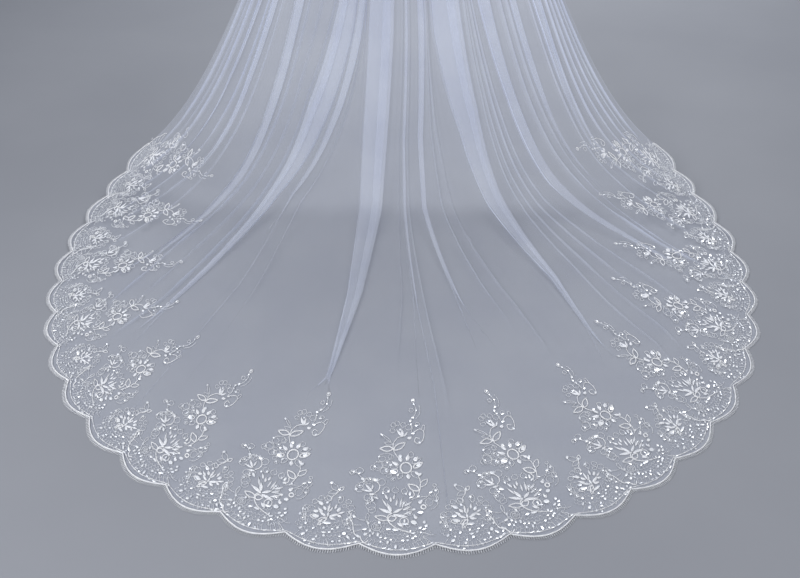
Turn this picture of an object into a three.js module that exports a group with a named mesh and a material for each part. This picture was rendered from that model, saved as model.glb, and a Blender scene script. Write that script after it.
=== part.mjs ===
// Cathedral veil on a comb. Millimetres, +Z up, origin at the middle of the comb's bar.
// The wearer faces +Y, the veil hangs behind and its train lies on the floor towards -Y.
import * as THREE from 'three';

const DEG = Math.PI / 180;

// Sizes of the whole
const DROP = 1600; // comb to floor
const CLOTH_TOP = 4.5; // the tulle's upper edge, below the comb's middle
const TULLE = 1.2; // wall of the tulle
const LACE = 1.2; // wall of the lace
const SEAM = 0.3; // clearance between pieces that touch
const SEAM_RAISED = 0.4; // more of it under the lace where the tulle is raised and curved

// Hem: the cusps of its scallops lie on an ellipse
const HEM = { halfWidth: 948.5, halfLength: 1060.6, centreY: -1073.2, end: 119 * DEG };
const SCALLOPS = 29;
const STEPS = 3; // facets along one scallop
const BULGE = 24; // how far a scallop stands out past its cusps

// The hang: a bell that runs out on the floor
const BELL = { foot: 426, spread: 600, limit: 0.88, round: 132, bow: 0.8, sideBow: 0.1 };

// Gathers under the binding
const GATHER = { halfWidth: 46, y: -6.3, reach: 350, topDepth: 2.6, depth: 9, columns: 6 };

// Edge trim
const CORD = { radius: 1.6 };
const BESIDE_CORD = (CORD.radius + SEAM) / 0.9; // the hem runs up to 27 degrees off the ellipse
const PICOT = { width: 8, thick: 0.9 };

const clamp = (v, low, high) => Math.min(Math.max(v, low), high);
const smooth = (from, to, v) => {
  const t = clamp((v - from) / (to - from), 0, 1);
  return t * t * (3 - 2 * t);
};
const lerp = (a, b, t) => a + (b - a) * t;
const softplus = (v) => Math.max(v, 0) + Math.log1p(Math.exp(-Math.abs(v)));

// Value of a row of a table at a station
function along(stations, values, at) {
  if (at <= stations[0]) return values[0];
  for (let i = 1; i < stations.length; i += 1) {
    if (at <= stations[i]) {
      return lerp(values[i - 1], values[i], (at - stations[i - 1]) / (stations[i] - stations[i - 1]));
    }
  }
  return values[values.length - 1];
}

// Hem: equal steps along the ellipse
const hemPoint = (t) => [
  HEM.halfWidth * Math.sin(t),
  HEM.centreY - HEM.halfLength * Math.cos(t),
];

const hemTable = (() => {
  const parts = 600;
  const angles = [];
  const lengths = [0];
  for (let i = 0; i <= parts; i += 1) {
    angles.push(lerp(-HEM.end, HEM.end, i / parts));
    if (i) {
      const [x0, y0] = hemPoint(angles[i - 1]);
      const [x1, y1] = hemPoint(angles[i]);
      lengths.push(lengths[i - 1] + Math.hypot(x1 - x0, y1 - y0));
    }
  }
  return { angles, lengths, total: lengths[parts] };
})();

const SCALLOP = hemTable.total / SCALLOPS; // length of one scallop along the hem

// How far the cusps lie from even places, in scallops
const DRIFT = {
  cusp: [0, 2, 8, 10, 13, 16, 19, 22, 25, 27, 29],
  by: [0, -0.3, -0.28, -0.17, -0.14, 0, 0, 0.2, 0.26, 0.36, 0],
};

// Frame of the hem at a scallop count: place, tangent to the viewer's right, inward normal
function hemFrame(count) {
  const place = (count + along(DRIFT.cusp, DRIFT.by, count)) * SCALLOP;
  const t = along(hemTable.lengths, hemTable.angles, place);
  const [x, y] = hemPoint(t);
  const tx = HEM.halfWidth * Math.cos(t);
  const ty = HEM.halfLength * Math.sin(t);
  const l = Math.hypot(tx, ty);
  return { x, y, t: [tx / l, ty / l], n: [-ty / l, tx / l] };
}

// How the motifs lie, where the cloth is drawn in and slants at the sides
const LAY = {
  scallop: [0, 2, 4, 6, 8, 10, 12, 14, 16, 18, 20, 22, 24, 26, 28],
  shift: [3, 3, 11, 9, 16, 10, -2, -2, -4, 10, -8, -16, -11, -28, -10],
  lean: [-0.03, -0.035, -0.08, -0.14, -0.255, -0.232, -0.106, 0, 0.06, 0.13, 0.217, 0.25, 0.15, 0.2, 0.1],
  length: [0.7, 0.8, 0.76, 0.735, 0.78, 0.88, 0.97, 1, 0.97, 0.905, 0.89, 0.85, 0.78, 0.72, 0.7],
};

// A plan point charted across and inwards in the scallop about a count
function motifPoint(count, [across, inward]) {
  const f = hemFrame(count);
  const [shift, lean, length] = [LAY.shift, LAY.lean, LAY.length].map(
    (column) => along(LAY.scallop, column, count - 0.5));
  const s = across + shift + lean * inward;
  const d = inward * length;
  return [f.x + f.t[0] * s + f.n[0] * d, f.y + f.t[1] * s + f.n[1] * d];
}

// A plan point on the scalloped edge, shifted inwards
function edgePoint(count, inward) {
  const f = hemFrame(count);
  const d = inward - BULGE * Math.sin(Math.PI * (count - Math.floor(count + 1e-9)));
  return [f.x + f.n[0] * d, f.y + f.n[1] * d];
}

// Distance from the comb's axis to the hem along an azimuth
function hemRadius(az) {
  const s = Math.sin(az) / HEM.halfWidth;
  const c = Math.cos(az) / HEM.halfLength;
  const e = HEM.centreY / HEM.halfLength;
  const a = s * s + c * c;
  const b = e * c;
  return (-b + Math.sqrt(b * b - a * (e * e - 1))) / a;
}

const END_AZ = (() => {
  const [x, y] = hemPoint(HEM.end);
  return Math.atan2(x, -y);
})();

// Height of the unfolded cloth above the floor
function bell(r, az) {
  const turn = az / Math.pow(1 + Math.pow(Math.abs(az) / BELL.limit, 6), 1 / 6);
  const foot = BELL.foot + BELL.spread * turn * turn;
  const bow = BELL.bow + BELL.sideBow * Math.pow(az / END_AZ, 4);
  const part = softplus((foot - r) / BELL.round) / softplus(foot / BELL.round);
  return (DROP - CLOTH_TOP) * Math.pow(part, bow);
}

const lift = (x, y) => bell(Math.hypot(x, y), Math.atan2(x, -y));

function liftNormal(x, y) {
  const step = 2;
  const gx = (lift(x + step, y) - lift(x - step, y)) / (2 * step);
  const gy = (lift(x, y + step) - lift(x, y - step)) / (2 * step);
  const l = Math.hypot(gx, gy, 1);
  return [-gx / l, -gy / l, 1 / l];
}

// Places that the lace covers, so that the folds run out before it
const laceSpots = (() => {
  const spots = [];
  for (let count = 0; count <= SCALLOPS; count += 0.5) {
    for (const d of [0, 100, 200, 300, 400]) spots.push(motifPoint(count, [0, d]));
  }
  return spots;
})();

function clearOfLace(x, y) {
  let near = Infinity;
  for (const [px, py] of laceSpots) near = Math.min(near, Math.hypot(px - x, py - y));
  return smooth(75, 190, near);
}

// Folds: azimuth in degrees and width at stations counted out from the comb's axis
const STATIONS = [150, 450, 650, 900, 1300, 1700];
const FOLDS = [
  { name: 'left_1', kind: 'ridge', lean: 1, before: 2, spread: 1.6,
    azimuth: [-47, -47, -47, -47, -47, -47], width: [5, 16, 14, 9, 0, 0] },
  { name: 'left_2', kind: 'ridge', lean: 1, before: 0, spread: 1.6,
    azimuth: [-43, -43, -42.5, -41.7, -41.7, -41.7], width: [5, 16, 14, 9, 0, 0] },
  { name: 'left_3', kind: 'roll', lean: 1, before: 1, spread: 2.2,
    azimuth: [-38, -36.8, -35.2, -33.6, -32.5, -32.5], width: [8, 26, 26, 22, 8, 0] },
  { name: 'left_band', kind: 'pleat', lean: -1, before: 2, spread: 2.6,
    azimuth: [-20.5, -21.2, -24, -25.2, -25, -25], width: [9, 36, 44, 26, 14, 6] },
  { name: 'left_slip', kind: 'ridge', lean: 1, before: 0, spread: 1.2,
    azimuth: [-15.5, -16.4, -19.4, -21.8, -20.5, -20.5], width: [5, 18, 16, 10, 0, 0] },
  { name: 'middle_band', kind: 'pleat', lean: 1, before: 2, spread: 3,
    azimuth: [-8.5, -8, -7.3, -5.9, -5.6, -6.3], width: [22, 68, 68, 60, 36, 5] },
  { name: 'centre_line', kind: 'ridge', lean: 1, before: 1, spread: 1,
    azimuth: [2, 2, 0.6, 0.6, 1.6, 2], width: [4, 9, 9, 9, 8, 4] },
  { name: 'centre_right', kind: 'ridge', lean: 1, before: 0, spread: 1.6,
    azimuth: [8.5, 8, 5.2, 4.4, 6.5, 8.7], width: [5, 16, 14, 12, 9, 5] },
  { name: 'right_band', kind: 'pleat', lean: 1, before: 2, spread: 3,
    azimuth: [17.5, 17.8, 19, 18.2, 19, 18.2], width: [22, 65, 54, 45, 16, 5] },
  { name: 'right_roll', kind: 'roll', lean: 1, before: 2, spread: 2.2,
    azimuth: [30.3, 30.4, 31, 30.8, 33.5, 35], width: [8, 22, 20, 28, 13, 0] },
  { name: 'right_1', kind: 'ridge', lean: 1, before: 1, spread: 1.4,
    azimuth: [39, 39, 38.5, 38, 38, 38], width: [5, 13, 12, 9, 0, 0] },
  { name: 'right_2', kind: 'ridge', lean: 1, before: 1, spread: 1.6,
    azimuth: [45.5, 45.5, 45, 43, 42.5, 42.5], width: [5, 15, 15, 9, 0, 0] },
];
const LAST_GAP = 2; // plain columns between the last fold and the right edge

// Sections across a fold: place when closed, place when let out, height
const SECTIONS = {
  ridge: [[-0.5, -1, 0], [0, 0, 1], [0.5, 1, 0]],
  roll: [[-0.5, -1, 0], [-0.3, -0.4, 0.8], [0.5, 0.2, 1], [0.32, 1, 0]],
  pleat: [
    [-0.72, -1, 0],
    [-0.5, -0.66, 0.82],
    [0.5, -0.33, 1],
    [0.5, 0, 0.62],
    [-0.5, 0.33, 0.4],
    [-0.5, 0.66, 0.02],
    [0.66, 1, 0],
  ],
};
const RISE = { ridge: [0.7, 0.35], roll: [0.6, 0.3], pleat: [17, 8] };

// Columns of the cloth from left to right: an edge, plain ones and those of each fold
const columns = (() => {
  const list = [{ edge: -1 }];
  const addPlain = (count, after) => {
    for (let i = 1; i <= count; i += 1) list.push({ plain: i / (count + 1), after });
  };
  FOLDS.forEach((fold, k) => {
    addPlain(fold.before, k - 1);
    const count = SECTIONS[fold.kind].length;
    for (let m = 0; m < count; m += 1) list.push({ fold: k, m: fold.lean > 0 ? m : count - 1 - m });
  });
  addPlain(LAST_GAP, FOLDS.length - 1);
  list.push({ edge: 1 });
  return list;
})();

// Azimuth and rise of one section of a fold at a radius
function foldPlace(k, m, r, closing) {
  const fold = FOLDS[k];
  const width = along(STATIONS, fold.width, r);
  const shut = smooth(0, 12, width) * closing;
  const [closed, open, high] = SECTIONS[fold.kind][m];
  const centre = along(STATIONS, fold.azimuth, r) * DEG;
  const offset = lerp(open * fold.spread * DEG, (closed * width) / Math.max(r, 40), shut);
  const [hung, laid] = RISE[fold.kind];
  const hanging = smooth(0, 160, bell(r, centre));
  const scale = fold.kind === 'pleat' ? 1 : width;
  return { az: centre + fold.lean * offset, rise: high * scale * lerp(laid, hung, hanging) * shut };
}

// Point of the cloth's middle surface
function clothPoint(column, share) {
  const place = columns[column];
  const rGuess = (az) => hemRadius(clamp(az, -END_AZ, END_AZ)) * share;
  const tuck = (r) => 1 - smooth(60, GATHER.reach, r);
  const resolve = (k, m) => {
    const r = rGuess(along(STATIONS, FOLDS[k].azimuth, 900) * DEG);
    return foldPlace(k, m, r, 1 - tuck(r));
  };
  const ends = (k, side) => {
    const count = SECTIONS[FOLDS[k].kind].length;
    const last = FOLDS[k].lean > 0 ? side > 0 : side < 0;
    return resolve(k, last ? count - 1 : 0).az;
  };
  let az;
  let rise = 0;
  if (place.edge) az = place.edge * END_AZ;
  else if (place.plain) {
    const from = place.after < 0 ? -END_AZ : ends(place.after, 1);
    const to = place.after + 1 >= FOLDS.length ? END_AZ : ends(place.after + 1, -1);
    az = lerp(from, to, place.plain);
  } else ({ az, rise } = resolve(place.fold, place.m));
  const r = rGuess(az);
  const held = tuck(r);
  const x = r * Math.sin(az) + held * GATHER.halfWidth * ((2 * column) / (columns.length - 1) - 1);
  const y = -r * Math.cos(az) + held * GATHER.y;
  const h = bell(r, az);
  const slope = bell(r + 1, az) - h; // over one millimetre
  const l = Math.hypot(slope, 1);
  const wave = Math.cos((2 * Math.PI * column) / GATHER.columns);
  const pleatDepth = lerp(GATHER.topDepth, GATHER.depth, smooth(0, 60, r)) * held;
  const out = rise * clearOfLace(x, y) + wave * pleatDepth;
  return new THREE.Vector3(
    x + (out * -slope * Math.sin(az)) / l,
    y - (out * -slope * Math.cos(az)) / l,
    h - DROP + TULLE / 2 + (share > 0 ? out / l : 0),
  );
}

// Rows of the cloth, as shares of the way from the comb's axis to the hem
const ROWS = [
  0.955, 0.875, 0.79, 0.71, 0.635, 0.56, 0.485, 0.41,
  0.34, 0.275, 0.215, 0.16, 0.11, 0.065, 0.028, 0,
];

// A closed wall from a surface of points and triangles, thick to both sides of it
function wall(points, faces, low, high, normals) {
  const used = normals || faceNormals(points, faces);
  const top = points.map((p, i) => p.clone().addScaledVector(used[i], high));
  const bottom = points.map((p, i) => p.clone().addScaledVector(used[i], low));
  const n = points.length;
  const triangles = [];
  const edges = new Map();
  for (const [a, b, c] of faces) {
    triangles.push([a, b, c], [n + a, n + c, n + b]);
    for (const [p, q] of [[a, b], [b, c], [c, a]]) {
      if (edges.has(`${q},${p}`)) edges.delete(`${q},${p}`);
      else edges.set(`${p},${q}`, [p, q]);
    }
  }
  for (const [p, q] of edges.values()) triangles.push([q, p, n + p], [q, n + p, n + q]);
  return { points: [...top, ...bottom], triangles };
}

function faceNormals(points, faces) {
  const sums = points.map(() => new THREE.Vector3());
  const ab = new THREE.Vector3();
  const ac = new THREE.Vector3();
  for (const [a, b, c] of faces) {
    ab.subVectors(points[b], points[a]);
    ac.subVectors(points[c], points[a]);
    const normal = ab.cross(ac).normalize();
    for (const i of [a, b, c]) sums[i].add(normal);
  }
  return sums.map((v) => v.normalize());
}

// The tulle's middle surface: a grid of columns and rows, then a strip out to the scalloped hem
const tulle = (() => {
  const points = [];
  const faces = [];
  const wide = columns.length;
  const middle = Math.floor(wide / 2); // the facets' diagonals are mirrored from here
  ROWS.forEach((share) => {
    for (let c = 0; c < wide; c += 1) points.push(clothPoint(c, share));
  });
  for (let j = 0; j < ROWS.length - 1; j += 1) {
    for (let c = 0; c < wide - 1; c += 1) {
      const a = j * wide + c;
      if (c < middle) faces.push([a, a + 1, a + wide + 1], [a, a + wide + 1, a + wide]);
      else faces.push([a, a + 1, a + wide], [a + 1, a + wide + 1, a + wide]);
    }
  }
  const start = points.length;
  const hem = SCALLOPS * STEPS;
  for (let i = 0; i <= hem; i += 1) {
    // Where the cloth is raised its rim tips outwards, towards the cord
    const lean = 2 * smooth(0, 60, lift(...edgePoint(i / STEPS, 0)));
    const [x, y] = edgePoint(i / STEPS, BESIDE_CORD + lean);
    points.push(new THREE.Vector3(x, y, lift(x, y) - DROP + TULLE / 2));
  }
  const turn = (p) => Math.atan2(p.x, -p.y);
  let inner = 0;
  let outer = 0;
  while (inner < wide - 1 || outer < hem) {
    const takeOuter =
      inner === wide - 1 ||
      (outer < hem && turn(points[start + outer + 1]) < turn(points[inner + 1]));
    if (takeOuter) {
      faces.push([start + outer, start + outer + 1, inner]);
      outer += 1;
    } else {
      faces.push([start + outer, inner + 1, inner]);
      inner += 1;
    }
  }
  return { points, faces };
})();

// Height of the faceted tulle over a plan point, where it has no folds
function facetHeight(x, y) {
  let best = { miss: Infinity, z: 0 };
  for (const face of tulle.faces) {
    const [a, b, c] = face.map((i) => tulle.points[i]);
    const area = (b.x - a.x) * (c.y - a.y) - (b.y - a.y) * (c.x - a.x);
    const v = ((x - a.x) * (c.y - a.y) - (y - a.y) * (c.x - a.x)) / area;
    const w = ((b.x - a.x) * (y - a.y) - (b.y - a.y) * (x - a.x)) / area;
    const miss = Math.max(-v, -w, v + w - 1, 0);
    if (miss < best.miss) best = { miss, z: a.z + v * (b.z - a.z) + w * (c.z - a.z) };
    if (miss === 0) break;
  }
  return best.z;
}

// Lace motifs in a scallop's own frame: across to the viewer's right, and inwards from the cusp line.
// Each is its outline over the web from the left cusp to the right one, and the gaps in it.
const SPIRE = {
  outline: [
    [-64, 98], [-76, 140], [-98, 178], [-106, 212], [-84, 196], [-52, 176], [-42, 214],
    [-22, 240], [-40, 266], [-10, 284], [-14, 322], [8, 350], [22, 396], [34, 428],
    [46, 390], [66, 326], [36, 302], [24, 270], [50, 238], [54, 208], [84, 176],
    [66, 148], [78, 116], [64, 76],
  ],
  gaps: [
    [[-52, 40], [-22, 30], [-24, 56], [-52, 66]],
    [[18, 30], [50, 38], [50, 62], [20, 56]],
    [[-54, 92], [-40, 84], [-34, 128], [-52, 136]],
    [[34, 86], [56, 84], [58, 112], [40, 124]],
    [[-16, 150], [12, 150], [22, 176], [-18, 188]],
  ],
};
const ROSETTE = {
  outline: [
    [-52, 74], [-38, 104], [-20, 128], [-4, 164], [8, 130], [32, 108], [46, 74],
  ],
  gaps: [
    [[-48, 36], [-16, 26], [-18, 54], [-44, 62]],
    [[14, 26], [46, 36], [42, 60], [16, 54]],
  ],
};
const WEB = 34; // width of the web at a cusp
const LACE_INSET = 5; // the lace's outer edge, inside the cord's middle

// Splits at its middle every edge that is too long for the cloth's height there
const LONGEST = { level: 140, raised: 62, height: 30 };
function refine(points, faces) {
  const middles = new Map();
  const middle = (a, b) => {
    const raised = Math.max(lift(...points[a]), lift(...points[b])) > LONGEST.height;
    const longest = raised ? LONGEST.raised : LONGEST.level;
    const long = Math.hypot(points[a][0] - points[b][0], points[a][1] - points[b][1]) > longest;
    if (!long) return -1;
    const key = a < b ? `${a},${b}` : `${b},${a}`;
    if (!middles.has(key)) {
      middles.set(key, points.length);
      points.push([(points[a][0] + points[b][0]) / 2, (points[a][1] + points[b][1]) / 2]);
    }
    return middles.get(key);
  };
  const result = [];
  for (const face of faces) {
    const cut = face.map((a, i) => middle(a, face[(i + 1) % 3]));
    const split = cut.filter((m) => m >= 0).length;
    if (split === 0) result.push(face);
    else if (split === 3) {
      result.push([face[0], cut[0], cut[2]], [cut[0], face[1], cut[1]], [cut[2], cut[1], face[2]], cut);
    } else {
      const i = split === 1 ? cut.findIndex((m) => m >= 0) : (cut.findIndex((m) => m < 0) + 1) % 3;
      const [a, b, c] = [face[i], face[(i + 1) % 3], face[(i + 2) % 3]];
      if (split === 1) result.push([a, cut[i], c], [cut[i], b, c]);
      else {
        const [ab, bc] = [cut[i], cut[(i + 1) % 3]];
        result.push([ab, b, bc], [a, ab, bc], [a, bc, c]);
      }
    }
  }
  return result;
}

// Lets a sheet of plan points and faces down on the tulle, so that no face dips into it
function layOnTulle(plan, faces) {
  const parts = 14;
  const normals = plan.map(([x, y]) => new THREE.Vector3(...liftNormal(x, y)));
  const need = (x, y) => {
    const clearance = SEAM + SEAM_RAISED * smooth(1, 20, lift(x, y));
    return facetHeight(x, y) + (TULLE / 2 + clearance) / liftNormal(x, y)[2];
  };
  const heights = plan.map(([x, y]) => need(x, y));
  const samples = [];
  faces.forEach((face) => {
    if (!face.some((i) => lift(...plan[i]) > 1)) return;
    for (let i = 0; i <= parts; i += 1) {
      for (let j = 0; j <= parts - i; j += 1) {
        const share = [i / parts, j / parts, (parts - i - j) / parts];
        const x = share.reduce((sum, w, k) => sum + w * plan[face[k]][0], 0);
        const y = share.reduce((sum, w, k) => sum + w * plan[face[k]][1], 0);
        samples.push({ face, share, z: need(x, y) });
      }
    }
  });
  for (let pass = 0; pass < 30; pass += 1) {
    samples.forEach(({ face, share, z }) => {
      const short = z - share.reduce((sum, w, k) => sum + w * heights[face[k]], 0);
      if (short <= 0) return;
      const size = share.reduce((sum, w) => sum + w * w, 0);
      face.forEach((i, k) => {
        heights[i] += (short * share[k]) / size;
      });
    });
  }
  return { points: plan.map(([x, y], i) => new THREE.Vector3(x, y, heights[i])), normals };
}

function laceSolid() {
  const lower = [];
  const upper = [];
  const gaps = [];
  for (let i = 0; i <= SCALLOPS * STEPS; i += 1) lower.push(edgePoint(i / STEPS, LACE_INSET));
  for (let i = 0; i < SCALLOPS; i += 1) {
    const motif = i % 2 === 0 ? SPIRE : ROSETTE;
    const put = (point) => motifPoint(i + 0.5, point);
    upper.push(edgePoint(i, WEB), ...motif.outline.map(put));
    gaps.push(...motif.gaps.map((gap) => gap.map(put)));
  }
  upper.push(edgePoint(SCALLOPS, WEB));
  const vector = ([x, y]) => new THREE.Vector2(x, y);
  const contour = [...lower, ...upper.reverse()];
  const plan = [...contour, ...gaps.flat()];
  const cut = THREE.ShapeUtils.triangulateShape(contour.map(vector), gaps.map((gap) => gap.map(vector)));
  const faces = refine(plan, refine(plan, sameWay(plan, cut)));
  const { points, normals } = layOnTulle(plan, faces);
  return wall(points, faces, 0, LACE, normals);
}

// Turns flat triangles so that all run anticlockwise
function sameWay(plan, faces) {
  return faces.map(([a, b, c]) => {
    const [p, q, r] = [plan[a], plan[b], plan[c]];
    const area = (q[0] - p[0]) * (r[1] - p[1]) - (q[1] - p[1]) * (r[0] - p[0]);
    return area > 0 ? [a, b, c] : [a, c, b];
  });
}

// A bar of one section along the scalloped edge
function edgeSweep(inward, section, steps, raise) {
  const rings = [];
  const total = SCALLOPS * steps;
  for (let i = 0; i <= total; i += 1) {
    const [x, y] = edgePoint(i / steps, inward);
    const f = hemFrame(i / steps);
    const base = new THREE.Vector3(x, y, lift(x, y) - DROP + raise);
    rings.push(section.map(([a, b]) => base.clone().add(new THREE.Vector3(-f.n[0] * a, -f.n[1] * a, b))));
  }
  const n = section.length;
  const points = rings.flat();
  const triangles = [];
  for (let i = 0; i < total; i += 1) {
    for (let k = 0; k < n; k += 1) {
      const a = i * n + k;
      const b = i * n + ((k + 1) % n);
      triangles.push([a, a + n, b + n], [a, b + n, b]);
    }
  }
  for (let k = 1; k < n - 1; k += 1) {
    triangles.push([0, k, k + 1]);
    triangles.push([total * n, total * n + k + 1, total * n + k]);
  }
  return { points, triangles };
}

// Comb: a bar with tapered teeth, cut from one plate
const COMB = { width: 100, bar: 6, teeth: 16, tooth: 2.6, tip: 1.2, length: 44, thick: 3 };
function combSolid() {
  const outline = [[-COMB.width / 2, COMB.bar / 2], [-COMB.width / 2, -COMB.bar / 2]];
  const pitch = (COMB.width - COMB.tooth) / (COMB.teeth - 1);
  for (let i = 0; i < COMB.teeth; i += 1) {
    const x = -COMB.width / 2 + COMB.tooth / 2 + i * pitch;
    const low = -COMB.bar / 2 - COMB.length;
    if (i) outline.push([x - COMB.tooth / 2, -COMB.bar / 2]);
    outline.push([x - COMB.tip / 2, low], [x + COMB.tip / 2, low]);
    if (i < COMB.teeth - 1) outline.push([x + COMB.tooth / 2, -COMB.bar / 2]);
  }
  outline.push([COMB.width / 2, -COMB.bar / 2], [COMB.width / 2, COMB.bar / 2]);
  const shape = outline.map(([x, z]) => new THREE.Vector2(x, z));
  const faces = THREE.ShapeUtils.triangulateShape(shape, []);
  const points = outline.map(([x, z]) => new THREE.Vector3(x, 0, z));
  const across = points.map(() => new THREE.Vector3(0, -1, 0));
  return wall(points, sameWay(outline, faces), -COMB.thick / 2, COMB.thick / 2, across);
}

// Binding: a flattened roll over the gathers, behind the comb's bar
const BINDING = { width: 104, depth: 10, height: 9, y: -7, z: 0.9, sides: 10 };
function bindingSolid() {
  const points = [];
  const triangles = [];
  const rings = [[-0.5, 0.72], [-0.48, 1], [0.48, 1], [0.5, 0.72]]; // place, size
  rings.forEach(([place, size]) => {
    for (let k = 0; k < BINDING.sides; k += 1) {
      const turn = (2 * Math.PI * (k + 0.5)) / BINDING.sides;
      const soft = 1 / Math.pow(Math.abs(Math.cos(turn)) ** 3 + Math.abs(Math.sin(turn)) ** 3, 1 / 3);
      points.push(new THREE.Vector3(
        place * BINDING.width,
        BINDING.y + ((size * BINDING.depth) / 2) * Math.cos(turn) * soft,
        BINDING.z + ((size * BINDING.height) / 2) * Math.sin(turn) * soft,
      ));
    }
  });
  const n = BINDING.sides;
  for (let i = 0; i < rings.length - 1; i += 1) {
    for (let k = 0; k < n; k += 1) {
      const a = i * n + k;
      const b = i * n + ((k + 1) % n);
      triangles.push([a, b, b + n], [a, b + n, a + n]);
    }
  }
  const last = (rings.length - 1) * n;
  for (let k = 1; k < n - 1; k += 1) triangles.push([0, k + 1, k], [last, last + k, last + k + 1]);
  return { points, triangles };
}

function signedVolume({ points, triangles }) {
  const cross = new THREE.Vector3();
  return triangles.reduce((sum, [a, b, c]) => {
    cross.crossVectors(points[b], points[c]);
    return sum + points[a].dot(cross) / 6;
  }, 0);
}

function mesh(name, solid, color, roughness) {
  const facing = signedVolume(solid) < 0 ? solid.triangles.map(([a, b, c]) => [a, c, b]) : solid.triangles;
  const geometry = new THREE.BufferGeometry();
  const flat = solid.points.flatMap((p) => [p.x, p.y, p.z]);
  geometry.setAttribute('position', new THREE.Float32BufferAttribute(flat, 3));
  geometry.setIndex(facing.flat());
  const material = new THREE.MeshStandardMaterial({ color, roughness, metalness: 0 });
  material.name = name;
  const made = new THREE.Mesh(geometry, material);
  made.name = name;
  return made;
}

const r = CORD.radius;
const cordSection = [[-r, -r], [r, -r], [0, r]];
const halfThick = PICOT.thick / 2;
const picotSection = [[0, -halfThick], [PICOT.width, -halfThick], [PICOT.width, halfThick], [0, halfThick]];

const veil = new THREE.Group();
veil.name = 'cathedral_veil';
veil.add(
  mesh('comb', combSolid(), 0xe8e9ee, 0.25),
  mesh('gather_binding', bindingSolid(), 0xe9ebf2, 0.6),
  mesh('tulle_veil', wall(tulle.points, tulle.faces, -TULLE / 2, TULLE / 2), 0xd9def0, 0.7),
  mesh('lace_border', laceSolid(), 0xf4f5fb, 0.6),
  mesh('scallop_cord', edgeSweep(0, cordSection, STEPS, r), 0xffffff, 0.5),
  mesh('picot_edge', edgeSweep(-BESIDE_CORD, picotSection, STEPS, halfThick), 0xf2f3fa, 0.7),
);

export default veil;
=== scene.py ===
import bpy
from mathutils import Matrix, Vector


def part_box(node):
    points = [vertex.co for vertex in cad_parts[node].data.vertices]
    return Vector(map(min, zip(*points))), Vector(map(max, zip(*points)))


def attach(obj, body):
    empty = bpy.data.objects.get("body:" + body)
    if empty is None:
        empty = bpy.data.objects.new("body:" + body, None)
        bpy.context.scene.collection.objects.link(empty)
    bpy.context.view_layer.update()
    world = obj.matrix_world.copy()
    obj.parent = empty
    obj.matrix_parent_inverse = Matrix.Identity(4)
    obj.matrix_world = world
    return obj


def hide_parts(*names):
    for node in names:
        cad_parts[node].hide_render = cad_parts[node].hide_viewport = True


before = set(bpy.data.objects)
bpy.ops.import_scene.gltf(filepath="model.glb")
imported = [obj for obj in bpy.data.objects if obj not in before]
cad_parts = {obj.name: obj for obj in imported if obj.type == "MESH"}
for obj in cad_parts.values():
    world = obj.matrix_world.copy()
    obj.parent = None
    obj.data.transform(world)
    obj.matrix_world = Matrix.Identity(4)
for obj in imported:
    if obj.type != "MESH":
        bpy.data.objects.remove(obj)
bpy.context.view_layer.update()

import math

import bpy
import numpy as np

# Cathedral veil in metres, in the frame of the CAD: +Z up, the origin at the comb,
# the train on the floor towards -Y. The cloth follows the same formulas as the CAD.

DROP = 1.600
CLOTH_TOP = 0.0045
HEM = {"half_width": 0.9485, "half_length": 1.0606, "centre_y": -1.0732, "end": math.radians(119)}
SCALLOPS = 29
LAST = SCALLOPS - 1e-6  # a count just inside the last cusp
BULGE = 0.024
BELL = {"foot": 0.426, "spread": 0.600, "limit": 0.88, "round": 0.132, "bow": 0.8, "side_bow": 0.1}
GATHER = {"half_width": 0.046, "y": -0.0063, "from": 0.060, "reach": 0.350,
          "top_depth": 0.0026, "depth": 0.009, "columns": 6}
CORD_RADIUS = 0.0016
HEM_INSET = CORD_RADIUS * 0.6  # the cloth's edge, inwards from the cord's middle
CLOTH = 0.0006  # the cloth's middle, above what it lies on
rng = np.random.default_rng(29)


def smooth(low, high, v):
    t = np.clip((v - low) / (high - low), 0, 1)
    return t * t * (3 - 2 * t)


# Hem

def hem_point(t):
    x = HEM["half_width"] * np.sin(t)
    y = HEM["centre_y"] - HEM["half_length"] * np.cos(t)
    return x, y


HEM_STEPS = 2400
hem_angles = np.linspace(-HEM["end"], HEM["end"], HEM_STEPS + 1)
_hx, _hy = hem_point(hem_angles)
hem_lengths = np.concatenate([[0], np.cumsum(np.hypot(np.diff(_hx), np.diff(_hy)))])
SCALLOP = hem_lengths[-1] / SCALLOPS
hem_azimuths = np.arctan2(_hx, -_hy)
END_AZ = float(hem_azimuths[-1])


# How far the cusps lie from even places, in scallops
DRIFT = {
    "cusp": (0, 2, 8, 10, 13, 16, 19, 22, 25, 27, 29),
    "by": (0, -0.3, -0.28, -0.17, -0.14, 0, 0, 0.2, 0.26, 0.36, 0),
}


def place_of(count):
    """Length along the hem to a scallop count."""
    count = np.asarray(count, float)
    return (count + np.interp(count, DRIFT["cusp"], DRIFT["by"])) * SCALLOP


def hem_frame(count):
    """Place, tangent to the viewer's right and inward normal of the hem at a scallop count."""
    t = np.interp(place_of(count), hem_lengths, hem_angles)
    x, y = hem_point(t)
    tx = HEM["half_width"] * np.cos(t)
    ty = HEM["half_length"] * np.sin(t)
    size = np.hypot(tx, ty)
    return x, y, tx / size, ty / size


def edge_point(count, inward):
    x, y, tx, ty = hem_frame(count)
    d = inward - BULGE * np.sin(np.pi * np.mod(count, 1.0))
    return x - ty * d, y + tx * d


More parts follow.
